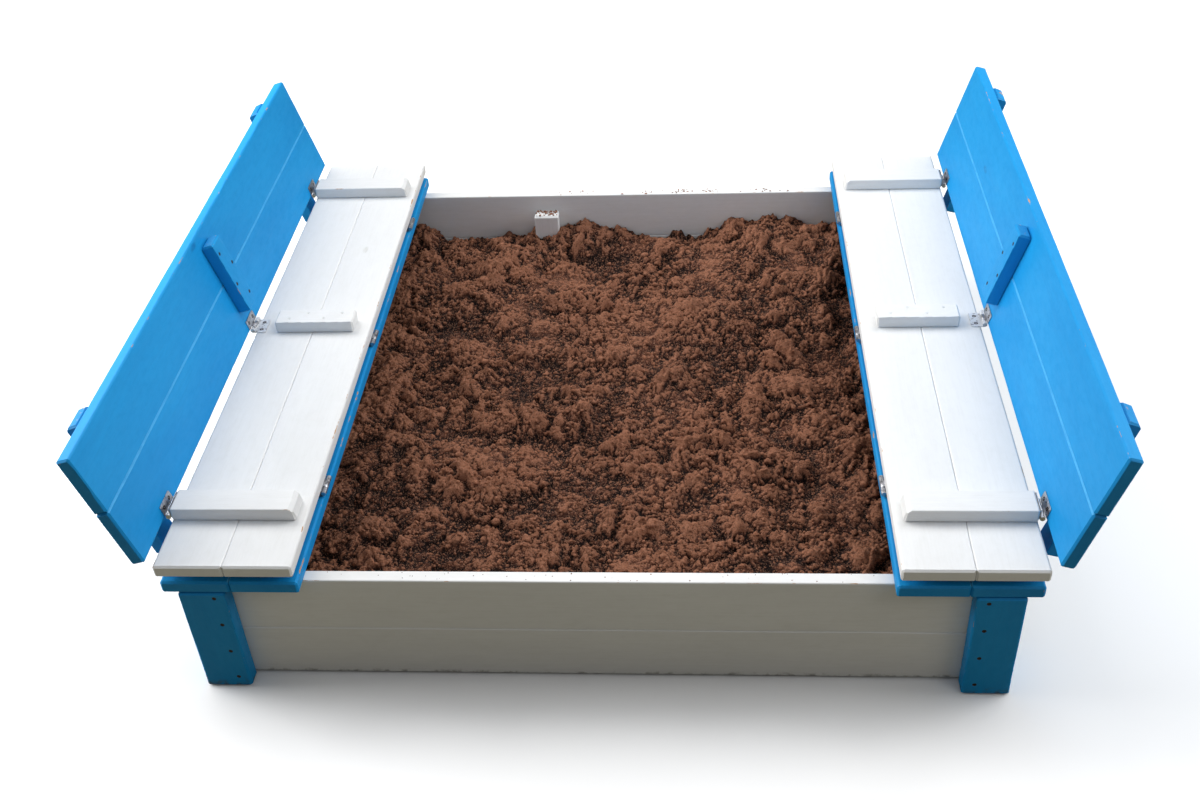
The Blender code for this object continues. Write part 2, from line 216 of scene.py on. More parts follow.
def painted_wood(name, paint, light, knot, joint_highlight, gloss, relief, specular):
    """Paint over planed softwood: rings and fibres that print through faintly, a few knots, brush
    texture, a painted highlight along the V joints, bare wood where the edges are rubbed, and grime
    near the ground."""
    s = Shader(name)
    space = s.attribute("grain_space", "Vector")
    rub = s.attribute("edge_rub")
    joint = s.attribute("joint_edge")
    end = s.attribute("end_grain")
    soil = s.attribute("soil")

    wander = s.noise(s.stretched(space, (2.5, 9.0, 9.0)), detail=2.0)
    rings = s.noise(s.stretched(space, (1.4, 26.0, 26.0)), detail=1.5, distortion=0.5)
    rings = s.math("PINGPONG", s.math("MULTIPLY", rings, 7.0), 0.5)
    fibres = s.noise(s.stretched(space, (14.0, 300.0, 300.0)), detail=4.0, roughness=0.62)
    mottle = s.noise(s.stretched(space, (45.0, 90.0, 90.0)), detail=5.0, roughness=0.7)
    specks = s.noise(space, scale=420.0, detail=2.0)
    ends = s.noise(s.stretched(space, (40.0, 240.0, 420.0)), detail=3.0)

    knot_space = s.stretched(space, (4.6, 11.0, 0.0))
    knot_near = s.ramp(s.cells(knot_space), 0.030, 0.075, 1.0, 0.0)
    chosen = s.ramp(s.node("SeparateColor", {0: s.cells(knot_space, output="Color")}), 0.70, 0.72)
    knots = s.math("MULTIPLY", s.math("MULTIPLY", knot_near, chosen), s.ramp(mottle, 0.2, 0.6))

    shade = s.mix(s.ramp(wander, 0.3, 0.7), paint, light)
    shade = s.mix(s.math("MULTIPLY", s.ramp(mottle, 0.40, 0.75), 0.12), shade, knot)
    shade = s.mix(s.math("MULTIPLY", s.ramp(fibres, 0.42, 0.72), 0.09), shade, knot)
    shade = s.mix(s.math("MULTIPLY", rings, 0.10), shade, knot)
    shade = s.mix(s.math("MULTIPLY", knots, 0.75), shade, knot)
    shade = s.mix(s.math("MULTIPLY", end, 0.20), shade, knot)
    # Painted highlight along the V joints, where the chamfer would catch the light, patchy along
    # its length.
    joint_highlight_mask = s.math("MULTIPLY", joint, s.ramp(mottle, 0.25, 0.6, 0.45, 0.95))
    shade = s.mix(joint_highlight_mask, shade, joint_highlight)

    splashes = s.ramp(s.noise(space, 75.0, 5.0), 0.3, 0.7, 0.4, 1.6)
    grime = s.ramp(s.math("MULTIPLY", soil, splashes), 0.3, 1.0)
    shade = s.mix(s.math("MULTIPLY", grime, 0.75), shade, colour(0.070, 0.045, 0.028))

    patchy = s.noise(s.stretched(space, (30.0, 90.0, 90.0)), detail=5.0, roughness=0.65)
    bare = s.ramp(s.math("MULTIPLY", rub, patchy), 0.56, 0.62)
    wood = s.mix(fibres, colour(0.42, 0.20, 0.085), colour(0.62, 0.36, 0.17))
    shade = s.mix(bare, shade, wood)

    height = s.math("ADD", s.math("MULTIPLY", fibres, 0.35), s.math("MULTIPLY", rings, 0.30))
    height = s.math("ADD", height, s.math("MULTIPLY", mottle, 0.45))
    height = s.math("ADD", height, s.math("MULTIPLY", knots, 0.8))
    height = s.math("ADD", height, s.math("MULTIPLY", s.math("MULTIPLY", ends, end), 1.6))
    height = s.math("SUBTRACT", height, s.math("MULTIPLY", bare, 0.9))
    normal = s.bump(specks, 0.00006)
    normal = s.bump(height, relief, normal)

    rough = s.ramp(mottle, 0.3, 0.8, gloss, gloss + 0.14)
    rough = s.math("MAXIMUM", rough, s.math("MULTIPLY", s.math("MAXIMUM", bare, grime), 0.85))
    s.set(base_color=shade, roughness=rough, normal=normal)
    s.surface.inputs["Specular IOR Level"].default_value = specular
    return s.material


def zinc_plate():
    """Zinc-plated steel, a little dull, with brush lines and brown stains at the screws."""
    s = Shader("zinc_plate")
    place = s.node("TexCoord", output="Object")
    cloud = s.noise(place, scale=260.0, detail=4.0, roughness=0.6)
    lines = s.noise(s.stretched(place, (900.0, 60.0, 900.0)), detail=3.0)
    shade = s.mix(s.ramp(cloud, 0.35, 0.7), colour(0.42, 0.43, 0.46), colour(0.64, 0.64, 0.66))
    stain = s.ramp(s.noise(place, scale=95.0, detail=5.0, roughness=0.7), 0.60, 0.72)
    shade = s.mix(s.math("MULTIPLY", stain, 0.7), shade, colour(0.16, 0.075, 0.035))
    rough = s.math("ADD", s.ramp(cloud, 0.3, 0.7, 0.26, 0.46), s.math("MULTIPLY", stain, 0.35))
    s.set(base_color=shade, roughness=rough, metallic=1.0, normal=s.bump(lines, 0.00003))
    return s.material


def overpainted_zinc():
    """A leaf that the brush went over with the wood: white with metal at its edges."""
    s = Shader("overpainted_zinc")
    place = s.node("TexCoord", output="Object")
    blots = s.ramp(s.noise(place, scale=190.0, detail=4.0, roughness=0.6), 0.53, 0.60)
    shade = s.mix(blots, colour(0.72, 0.74, 0.77), colour(0.42, 0.40, 0.40))
    rough = s.ramp(blots, 0.0, 1.0, 0.5, 0.35)
    lumps = s.noise(place, scale=500.0, detail=2.0)
    s.set(base_color=shade, roughness=rough, metallic=s.math("MULTIPLY", blots, 0.8))
    s.set(normal=s.bump(lumps, 0.0001))
    return s.material


def dark_screw():
    """Browned steel screw heads with worn crests."""
    s = Shader("browned_steel")
    place = s.node("TexCoord", output="Object")
    cloud = s.noise(place, scale=700.0, detail=3.0)
    shade = s.mix(s.ramp(cloud, 0.40, 0.65), colour(0.030, 0.022, 0.018), colour(0.13, 0.10, 0.08))
    s.set(base_color=shade, roughness=s.ramp(cloud, 0.3, 0.7, 0.35, 0.65), metallic=0.75)
    s.set(normal=s.bump(cloud, 0.00008))
    return s.material


def damp_sand(name, grain_bump):
    """Dark reddish brown sand: grains of several shades, painted shade in its hollows, painted
    light on its tops.
    """
    s = Shader(name)
    place = s.node("TexCoord", output="Object")
    stands = s.attribute("stands")
    patches = s.noise(place, scale=6.5, detail=4.0, roughness=0.6)
    blotches = s.noise(place, scale=190.0, detail=5.0, roughness=0.75)
    grains = s.cells(place, scale=620.0)
    tint = s.node("SeparateColor", {0: s.cells(place, 620.0, output="Color")})

    # level mixes painted shade and light from stands (shade in the hollows, light on the tops) with
    # random blotches and patches of tone
    level = s.math("ADD", s.math("MULTIPLY", stands, 0.66), s.math("MULTIPLY", blotches, 1.3))
    level = s.math("ADD", level, s.ramp(patches, 0.25, 0.75, 0.0, 0.72))
    dark_grains_and_shade = colour(0.010, 0.0030, 0.0018)
    light_grains_and_highlight = colour(0.375, 0.158, 0.088)
    shade = s.mix(s.ramp(level, 0.62, 1.04), dark_grains_and_shade, colour(0.100, 0.034, 0.018))
    shade = s.mix(s.ramp(level, 1.04, 1.50), shade, light_grains_and_highlight)
    shade = s.mix(s.ramp(tint, 0.76, 0.90, 0.0, 0.55), shade, colour(0.40, 0.20, 0.125))
    shade = s.mix(s.ramp(tint, 0.12, 0.34, 0.45, 0.0), shade, colour(0.012, 0.004, 0.003))

    lumps = s.noise(place, scale=240.0, detail=5.0, roughness=0.7)
    normal = s.bump(lumps, grain_bump * 4.0)
    normal = s.bump(grains, grain_bump * 1.5, normal)
    s.set(base_color=shade, roughness=0.92, normal=normal)
    s.surface.inputs["Specular IOR Level"].default_value = 0.25
    return s.material


# ---------------------------------------------------------------- mesh helpers


def new_piece(name, mesh, body, material):
    obj = bpy.data.objects.new(name, mesh)
    COLLECTION.objects.link(obj)
    mesh.materials.append(material)
    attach(obj, body)
    return obj


def as_mesh(shape, name):
    """A new mesh from a bmesh, which is freed."""
    mesh = bpy.data.meshes.new(name)
    shape.to_mesh(mesh)
    shape.free()
    return mesh


def face_outward(mesh):
    shape = bmesh.new()
    shape.from_mesh(mesh)
    bmesh.ops.recalc_face_normals(shape, faces=shape.faces)
    shape.to_mesh(mesh)
    shape.free()


def float_attribute(mesh, name, values):
    mesh.attributes.new(name, "FLOAT", "POINT").data.foreach_set("value", values)


def vector_attribute(mesh, name, values):
    flat = np.asarray(values, np.float32).ravel()
    mesh.attributes.new(name, "FLOAT_VECTOR", "POINT").data.foreach_set("vector", flat)


def baked(obj, name):
    """The object's mesh with its modifiers applied, as a new mesh."""
    bpy.context.view_layer.update()
    graph = bpy.context.evaluated_depsgraph_get()
    mesh = bpy.data.meshes.new_from_object(obj.evaluated_get(graph))
    mesh.name = name
    return mesh


def helper(mesh):
    obj = bpy.data.objects.new(mesh.name, mesh)
    COLLECTION.objects.link(obj)
    return obj


def cut(obj, cutter, operation="DIFFERENCE"):
    modifier = obj.modifiers.new("cut", "BOOLEAN")
    modifier.operation = operation
    modifier.solver = "EXACT"
    modifier.object = cutter


def cone_into(shape, base, direction, top_radius, bottom_radius, depth, segments=20):
    """A cone from a point on a surface down into it, closed at both ends."""
    turn = direction.to_track_quat("Z", "Y").to_matrix().to_4x4()
    matrix = Matrix.Translation(base - direction * (depth / 2)) @ turn
    bmesh.ops.create_cone(
        shape,
        cap_ends=True,
        segments=segments,
        radius1=bottom_radius,
        radius2=top_radius,
        depth=depth,
        matrix=matrix,
    )


# ---------------------------------------------------------------- boards


def corner_points(width, thick, w_sign, t_sign, kind, size):
    """One corner of a board's section: a quarter circle, or a chamfer, whose points are marked
    -1 where a painted highlight runs along the V joint."""
    if kind == "vee":
        beside = size + JOINT_HIGHLIGHT_REACH
        points = [(width - beside, thick), (width - size, thick)]
        points += [(width, thick - size), (width, thick - beside)]
        rub = [0.0, -1.0, -1.0, 0.0]
    else:
        angles = np.linspace(math.pi / 2, 0.0, ARC_STEPS + 1)
        points = [
            (width - size + size * math.cos(a), thick - size + size * math.sin(a)) for a in angles
        ]
        rub = [math.sin(2 * a) ** 0.5 if 0 < a < math.pi / 2 else 0.0 for a in angles]
    points = [(w * w_sign, t * t_sign) for w, t in points]
    if w_sign * t_sign < 0:
        return points[::-1], rub[::-1]
    return points, rub


def section(width, thick, corners):
    """A board's outline, clockwise from its top right corner, and how rubbed each point is."""
    outline, rubbed = [], []
    order = ((1, 1), (1, -1), (-1, -1), (-1, 1))
    parts = [corner_points(width, thick, *signs, *corners[signs]) for signs in order]
    for number, (points, rub) in enumerate(parts):
        outline += points
        rubbed += rub
        following = parts[(number + 1) % 4][0][0]
        here = points[-1]
        span = math.dist(here, following)
        steps = max(1, round(span / ACROSS_SPACING))
        for step in range(1, steps):
            share = step / steps
            outline.append(tuple(a + (b - a) * share for a, b in zip(here, following)))
            rubbed.append(0.0)
    return outline, rubbed


def stations(length, chamfer):
    """Places along a board, with how far the section is drawn in for the rounded ends."""
    half = length / 2
    radius = END_EDGE_RADIUS
    arc = np.linspace(0.0, math.pi / 2, ARC_STEPS + 1)
    end = [(half - radius * math.sin(a), radius * (1 - math.sin(a))) for a in arc]
    if chamfer:
        end += [(half - chamfer - past, 0.0) for past in PAST_CHAMFER]
    inner = end[-1][0]
    steps = max(1, round(2 * inner / STATION_SPACING))
    middle = [(inner - 2 * inner * n / steps, 0.0) for n in range(1, steps)]
    return end + middle + [(-along, inset) for along, inset in reversed(end)]


def board_mesh(name, size, corners, seed, chamfer, shrink):
    """A board along X, wide along Y and thick along Z, centred on the origin."""
    length, width, thick = size
    points, rub, ends = [], [], []
    for along, inset in stations(length, chamfer):
        drawn = {}
        for key, (kind, value) in corners.items():
            value *= 1 + UNEVEN[kind] * noise.noise((along * 9, seed, key[1] * 2))
            drawn[key] = (kind, max(value - inset, SMALLEST_EDGE))
        outline, rubbed = section(width / 2 - inset, thick / 2 - inset, drawn)
        at_end = 1.0 if inset > END_EDGE_RADIUS * 0.5 else 0.0
        worn = 0.8 if 0 < inset < END_EDGE_RADIUS else 0.0
        for (w, t), r in zip(outline, rubbed):
            hollow = 0.5 + 0.5 * noise.noise((along * 6, w * 30, seed + math.copysign(3, t)))
            narrow = 0.5 + 0.5 * noise.noise((along * 7, seed - 5, math.copysign(4, w)))
            t -= t / (thick / 2) * shrink * hollow
            w -= w / (width / 2) * shrink * narrow
            points.append((along, w, t))
            rub.append(r if r < 0 and inset == 0 else max(r, worn))
            ends.append(at_end)

    per = len(outline)
    count = len(points) // per
    faces = []
    for row in range(count - 1):
        for n in range(per):
            a, b = row * per + n, row * per + (n + 1) % per
            faces.append((a, b, b + per, a + per))
    faces.append(tuple(reversed(range(per))))
    faces.append(tuple(range((count - 1) * per, count * per)))
    mesh = bpy.data.meshes.new(name)
    mesh.from_pydata(points, [], faces)
    face_outward(mesh)
    offset = Vector((seed * 1.37, seed * 0.61, seed * 0.23))
    vector_attribute(mesh, "grain_space", [Vector(p) + offset for p in points])
    float_attribute(mesh, "edge_rub", [max(0.0, r) for r in rub])
    float_attribute(mesh, "joint_edge", [float(r < 0) for r in rub])
    float_attribute(mesh, "end_grain", ends)
    return mesh


def chamfer_end(mesh, along_sign, size, thick):
    """Takes the top edge off one end of a board, at 45 degrees."""
    limit = max(abs(v.co.x) for v in mesh.vertices)
    for vertex in mesh.vertices:
        reach = abs(vertex.co.x) if vertex.co.x * along_sign > 0 else 0.0
        over = (reach - (limit - size)) + (vertex.co.z - (thick / 2 - size)) - size
        if over > 0:
            vertex.co.x -= along_sign * over / 2
            vertex.co.z -= over / 2


SEEDS = iter(range(1, 500))


def frame_axes(size):
    """Rotation that takes a board's own length, width and thickness to its box's axes."""
    order = sorted(range(3), key=lambda k: -size[k])
    length, width, thick = (Vector([float(k == axis) for k in range(3)]) for axis in order)
    if length.cross(width).dot(thick) < 0:
        thick = -thick
    return Matrix((length, width, thick)).transposed(), order


def local_box(node, turn):
    """A node's lowest and highest corners in a turned frame."""
    back = turn.inverted()
    points = np.array([back @ v.co for v in frame["nodes"][node].data.vertices])
    return Vector(points.min(0)), Vector(points.max(0))


def board(name, low, high, material, body, slot, toward=None, turn=Matrix(), **options):
    """A painted board that fills a box. toward points to the board that it is jointed to. The
    options are radius, vee, chamfer, holes and soil."""
    radius = options.get("radius", LONG_EDGE_RADIUS)
    size = high - low
    axes, order = frame_axes(size)
    lengths = tuple(size[axis] for axis in order)
    joint = 0
    if toward is not None:
        joint = round((axes.inverted() @ toward).y)
    corners = {}
    for w_sign in (1, -1):
        for t_sign in (1, -1):
            kind = ("vee", options.get("vee", VEE_DEPTH)) if w_sign == joint else ("round", radius)
            corners[(w_sign, t_sign)] = kind
    chamfer = options.get("chamfer")
    cut_back = chamfer["size"] if chamfer else 0.0
    holes = options.get("holes", ())
    shrink = 0.0 if holes else MOST_SHRINK
    mesh = board_mesh(name, lengths, corners, next(SEEDS), cut_back, shrink)
    if chamfer:
        toward_end = (axes.inverted() @ chamfer["toward"]).x
        up = (axes.inverted() @ chamfer["up"]).z
        turned_up = Matrix.Diagonal((1, 1, math.copysign(1, up), 1))
        mesh.transform(turned_up)
        chamfer_end(mesh, math.copysign(1, toward_end), chamfer["size"], lengths[2])
        mesh.transform(turned_up)
    mesh.transform(turn @ Matrix.Translation((low + high) / 2) @ axes.to_4x4())
    soil = options.get("soil", lambda point: 0.0)
    float_attribute(mesh, "soil", [soil(v.co) for v in mesh.vertices])
    mesh.shade_smooth()
    mesh.set_sharp_from_angle(angle=SMOOTH_ANGLE)
    obj = new_piece(name, mesh, body, material)
    if holes:
        drill(obj, holes)
        obj.data.shade_smooth()
        obj.data.set_sharp_from_angle(angle=SMOOTH_ANGLE)
    even = obj.modifiers.new("even_normals", "WEIGHTED_NORMAL")
    even.keep_sharp = True
    return obj


def drill(obj, holes):
    """Countersinks a board at each (point, direction out of the wood). The cut is made again,
    slightly deeper, if a hole comes out wrong."""
    for attempt in range(5):
        shape = bmesh.new()
        for point, out in holes:
            depth = HEAD_DEPTH + HEAD_SINK + 0.00013 * attempt
            proud = out * (0.00011 + 0.00007 * attempt)
            cone_into(shape, point + proud, out, HEAD_RADIUS + 0.0003, 0.0014, depth)
        cutter = helper(as_mesh(shape, f"{obj.name}_holes"))
        cut(obj, cutter)
        drilled = baked(obj, obj.name)
        obj.modifiers.clear()
        bpy.data.objects.remove(cutter)
        if len(drilled.vertices) > len(obj.data.vertices) + FEWEST_HOLE_POINTS * len(holes):
            obj.data = drilled
            return


def screw_mesh():
    """A countersunk head with a cross recess. Its top is at Z = 0."""
    shape = bmesh.new()
    up = Vector((0, 0, 1))
    cone_into(shape, Vector(), up, HEAD_RADIUS, 0.0016, HEAD_DEPTH, ROUND_SEGMENTS)
    solid = helper(as_mesh(shape, "screw_head"))
    bars = []
    for turn in (0.0, math.pi / 2):
        shape = bmesh.new()
        size = Matrix.Diagonal((CROSS_LENGTH, CROSS_WIDTH, 2 * CROSS_DEPTH, 1.0))
        matrix = Matrix.Rotation(turn, 4, "Z") @ size
        bmesh.ops.create_cube(shape, size=1.0, matrix=matrix)
        bars.append(helper(as_mesh(shape, "cross_bar")))
        cut(solid, bars[-1])
    edge = solid.modifiers.new("edge", "BEVEL")
    edge.width = 0.00018
    edge.segments = 2
    made = baked(solid, "screw")
    for obj in [solid, *bars]:
        bpy.data.objects.remove(obj)
    return made


def screws(name, holes, body, material):
    """One piece with a screw at each (point, direction out of the wood)."""
    shape = bmesh.new()
    for number, (point, out) in enumerate(holes):
        copy = SCREW.copy()
        turn = out.to_track_quat("Z", "Y").to_matrix().to_4x4()
        spin = Matrix.Rotation(number * 0.7 + len(name), 4, "Z")
        copy.transform(Matrix.Translation(point - out * HEAD_SINK) @ turn @ spin)
        shape.from_mesh(copy)
        bpy.data.meshes.remove(copy)
    mesh = as_mesh(shape, name)
    mesh.shade_smooth()
    mesh.set_sharp_from_angle(angle=SMOOTH_ANGLE)
    return new_piece(name, mesh, body, material)


def body_of(node):
    return frame["nodes"][node]["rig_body"]


def slot_of(node):
    subparts = frame["record"]["subparts"]
    return next(s["material_slot"] for s in subparts if s["node"] == node)


def node_board(node, material, mate=None, turn=Matrix(), **options):
    """The detailed board that stands for one CAD node."""
    low, high = local_box(node, turn)
    toward = None
    if mate:
        other_low, other_high = local_box(mate, turn)
        toward = ((other_low + other_high) - (low + high)).normalized()
    obj = board(
        f"{node}_board", low, high, material, body_of(node), slot_of(node), toward, turn, **options
    )
    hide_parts(node)
    return obj


def ground_soil(point):
    """Splashed soil, fading out a little above the ground."""
    return 0.75 * max(0.0, 1.0 - point.z / SOIL_HEIGHT)


def cleat_soil(point):
    """Damp sand has stained the top of the cleat."""
    return 0.45 * (point.z > CLEAT_STAIN_HEIGHT)


def walls():
    for place in (*ENDS, *SIDES):
        lower, upper = f"wall_{place}_lower", f"wall_{place}_upper"
        options = {"radius": WALL_EDGE_RADIUS, "soil": ground_soil}
        node_board(lower, WHITE, mate=upper, **options)
        node_board(upper, WHITE, mate=lower, vee=UPPER_VEE_DEPTH, **options)
    node_board("wall_back_cleat", WHITE, radius=WALL_EDGE_RADIUS, soil=cleat_soil)


def leg_board(node, part, a, b, holes):
    """One of a corner leg's two boards, between two corners, with its screws."""
    name = f"{node}_{part}"
    low, high = Vector(map(min, a, b)), Vector(map(max, a, b))
    piece = board(name, low, high, BLUE, "box", "blue_paint", soil=ground_soil, holes=holes)
    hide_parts(node)
    screws(f"{name}_screws", holes, "box", DARK_SCREW)


def legs():
    """Each corner leg is two boards, screwed to the walls from the front and from the side."""
    for end, y_sign in ENDS.items():
        for side, x_sign in SIDES.items():
            node = f"leg_{end}_{side}"
            low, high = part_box(node)
            out_y = Vector((0, y_sign, 0))
            out_x = Vector((x_sign, 0, 0))
            outer = Vector((high.x if x_sign > 0 else low.x, high.y if y_sign > 0 else low.y, 0))
            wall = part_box(f"wall_{end}_lower")
            thick = abs(outer.y) - max(abs(wall[0].y), abs(wall[1].y)) - BOARD_GAP
            reach = LEG_BOARD_WIDTH - LEG_SCREW_INSET
            inner = outer - Vector((x_sign * LEG_BOARD_WIDTH, y_sign * thick, 0))
            x = outer.x - x_sign * reach
            holes = [(Vector((x, outer.y, z)), out_y) for z in LEG_SCREW_HEIGHTS]
            leg_board(node, "face", inner, Vector((outer.x, outer.y, high.z)), holes)

            a = Vector((outer.x - x_sign * thick, inner.y - y_sign * BOARD_GAP, 0))
            b = Vector((outer.x, inner.y - y_sign * LEG_BOARD_WIDTH, high.z))
            y = inner.y - y_sign * reach
            holes = [(Vector((outer.x, y, z)), out_x) for z in LEG_SCREW_HEIGHTS]
            leg_board(node, "side", a, b, holes)


def shelves():
    for side, sign in SIDES.items():
        low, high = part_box(f"shelf_{side}")
        middle = (low.x + high.x) / 2
        gap = BOARD_GAP / 2
        spans = {"inner": (low.x, middle - gap), "outer": (middle + gap, high.x)}
        if sign < 0:
            spans = {"outer": spans["inner"], "inner": spans["outer"]}
        for place, (x0, x1) in spans.items():
            toward = Vector((math.copysign(1, middle - (x0 + x1) / 2), 0, 0))
            a, b = Vector((x0, low.y, low.z)), Vector((x1, high.y, high.z))
            name = f"shelf_{side}_{place}_board"
            piece = board(name, a, b, BLUE, "box", "blue_paint", toward, vee=SEAT_VEE_DEPTH)
            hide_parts(f"shelf_{side}")


def zigzag(start, end, stagger, count):
    """Screw places along a batten, stepping to either side of its middle line along Y."""
    across = Vector((0, stagger, 0))
    for number in range(count):
        share = number / (count - 1)
        yield start.lerp(end, share) + across * (1 if number % 2 else -1)


def seats():
    for side, sign in SIDES.items():
        up = Vector((0, 0, 1))
        inner, outer = f"seat_{side}_inner", f"seat_{side}_outer"
        node_board(inner, WHITE, mate=outer, vee=SEAT_VEE_DEPTH)
        node_board(outer, WHITE, mate=inner, vee=SEAT_VEE_DEPTH)
        for end in ENDS:
            node = f"seat_batten_{side}_{end}"
            toward = Vector((-sign, 0, 0))
            chamfer = {"toward": toward, "up": up, "size": SEAT_BATTEN_CHAMFER}
            node_board(node, WHITE, radius=BATTEN_EDGE_RADIUS, chamfer=chamfer)
        node = f"seat_batten_{side}_middle"
        low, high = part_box(node)
        start = Vector((low.x + SEAT_SCREW_INSET, 0.0, high.z))
        finish = Vector((high.x - SEAT_SCREW_INSET, 0.0, high.z))
        places = zigzag(start, finish, SEAT_SCREW_STAGGER, BATTEN_SCREW_COUNT)
        holes = [(place, up) for place in places]
        node_board(node, WHITE, radius=BATTEN_EDGE_RADIUS, holes=holes)
        screws(f"{node}_screws", holes, f"seat_{side}", WHITE)


def lean_of(node):
    """How far a leaning board is turned about Y."""
    points = np.array([v.co for v in frame["nodes"][node].data.vertices])[:, [0, 2]]
    major = np.linalg.svd(points - points.mean(0), full_matrices=False)[2][0]
    return math.atan2(major[0] * math.copysign(1, major[1]), abs(major[1]))


def backrests():
    for side, sign in SIDES.items():
        lower, upper = f"backrest_{side}_lower", f"backrest_{side}_upper"
        turn = Matrix.Rotation(lean_of(lower), 4, "Y")
        node_board(lower, BLUE, mate=upper, turn=turn)
        node_board(upper, BLUE, mate=lower, turn=turn, vee=UPPER_VEE_DEPTH)
        up = Vector((0, 0, 1))
        for end in ENDS:
            node = f"backrest_batten_{side}_{end}"
            outward = Vector((sign, 0, 0))
            chamfer = {"toward": up, "up": outward, "size": BACK_BATTEN_CHAMFER}
            node_board(node, BLUE, turn=turn, radius=BATTEN_EDGE_RADIUS, chamfer=chamfer)
        node = f"backrest_batten_{side}_middle"
        low, high = local_box(node, turn)
        face_x = low.x if sign > 0 else high.x
        start = Vector((face_x, 0.0, high.z - BACK_SCREW_INSET))
        finish = Vector((face_x, 0.0, low.z + BACK_SCREW_INSET))
        places = zigzag(start, finish, BACK_SCREW_STAGGER, BATTEN_SCREW_COUNT)
        out = Vector((-sign, 0, 0))
        holes = [(turn @ p, (turn.to_3x3() @ out)) for p in places]
        node_board(node, BLUE, turn=turn, radius=BATTEN_EDGE_RADIUS, holes=holes)
        screws(f"{node}_screws", holes, f"backrest_{side}", DARK_SCREW)


# ---------------------------------------------------------------- hinges


def rounded_plate(shape, x, y, z, radius):
    """A plate over three ranges, with its far corners rounded."""
    size = (x[1] - x[0], y[1] - y[0], z[1] - z[0], 1.0)
    centre = Vector((sum(x), sum(y), sum(z))) / 2
    made = bmesh.ops.create_cube(
        shape, size=1.0, matrix=Matrix.Translation(centre) @ Matrix.Diagonal(size)
    )
    far = [
        edge
        for edge in {e for v in made["verts"] for e in v.link_edges}
        if all(v.co.x > centre.x for v in edge.verts)
        and abs(edge.verts[0].co.z - edge.verts[1].co.z) > 1e-5
    ]
    bmesh.ops.bevel(
        shape, geom=far, offset=radius, segments=5, profile=0.5, affect="EDGES", clamp_overlap=True
    )


def leaf_solid(name, length, width, offset, thick, knuckles):
    """One leaf with its pin along Y through the origin, its plate along +X and its back at
    Z = offset. knuckles are the spans along Y that roll round the pin."""
    half = width / 2
    shape = bmesh.new()
    rounded_plate(shape, (0.0034, length), (-half, half), (offset - thick, offset), LEAF_CORNER)
    plate = helper(as_mesh(shape, name))
    tools = []
    for y in knuckles:
        shape = bmesh.new()
        neck = ((0.0, 0.0046), y, (offset - thick, offset))
        centre = Vector([sum(span) / 2 for span in neck])
        size = [span[1] - span[0] for span in neck]
        matrix = Matrix.Translation(centre) @ Matrix.Diagonal((*size, 1.0))
        bmesh.ops.create_cube(shape, size=1.0, matrix=matrix)
        tools.append(shape)
        shape = bmesh.new()
        base = Vector((0, y[1], 0))
        along = Vector((0, 1, 0))
        radius = KNUCKLE_RADIUS
        cone_into(shape, base, along, radius, radius, y[1] - y[0], ROUND_SEGMENTS)
        tools.append(shape)
    made = []
    for number, shape in enumerate(tools):
        made.append(helper(as_mesh(shape, f"{name}_{number}")))
        cut(plate, made[-1], "UNION")
    edge = plate.modifiers.new("edge", "BEVEL")
    edge.width = 0.00022
    edge.segments = 2
    edge.limit_method = "ANGLE"
    edge.angle_limit = math.radians(50)
    solid = baked(plate, name)
    for obj in [plate, *made]:
        bpy.data.objects.remove(obj)
    return solid


def hinge_frame(node, pin, wood_side):
    """(matrix, length, width, offset) of a CAD leaf, measured in its own frame about the pin."""
    points = np.array([v.co for v in frame["nodes"][node].data.vertices])
    middle_y = (points[:, 1].min() + points[:, 1].max()) / 2
    pin = Vector((pin.x, middle_y, pin.z))
    wood_side = wood_side.normalized()
    along = Vector((0, 1, 0)).cross(wood_side)
    reach = (points - np.array(pin)) @ np.array(along)
    if abs(reach.min()) > reach.max():
        along = -along
        reach = -reach
    axis = wood_side.cross(along)
    matrix = Matrix.Translation(pin) @ Matrix((along, axis, wood_side)).transposed().to_4x4()
    depth = (points - np.array(pin)) @ np.array(wood_side)
    far = reach > reach.max() - 0.001
    width = points[:, 1].max() - points[:, 1].min()
    return matrix, float(reach.max()), float(width), float(depth[far].max())


def leaf(node, pin, wood_side, outer, material):
    matrix, length, width, offset = hinge_frame(node, pin, wood_side)
    third = width / 6
    if outer:
        spans = [(-width / 2, -third - 0.0002), (third + 0.0002, width / 2)]
    else:
        spans = [(-third + 0.0001, third - 0.0001)]
    mesh = leaf_solid(f"{node}_plate", length, width, offset, LEAF_THICKNESS, spans)
    mesh.transform(matrix)
    mesh.shade_smooth()
    mesh.set_sharp_from_angle(angle=SMOOTH_ANGLE)
    piece = new_piece(f"{node}_plate", mesh, body_of(node), material)
    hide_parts(node)
    out = -(matrix.to_3x3() @ Vector((0, 0, 1)))
    middle_x = (0.0045 + length) / 2
    face = offset - LEAF_THICKNESS
    holes = []
    for y in (-width * 0.27, width * 0.27):
        point = matrix @ Vector((middle_x, y, face))
        holes.append((point + out * LEAF_SCREW_PROUD, out))
    screws(f"{node}_screws", holes, body_of(node), DARK_SCREW)


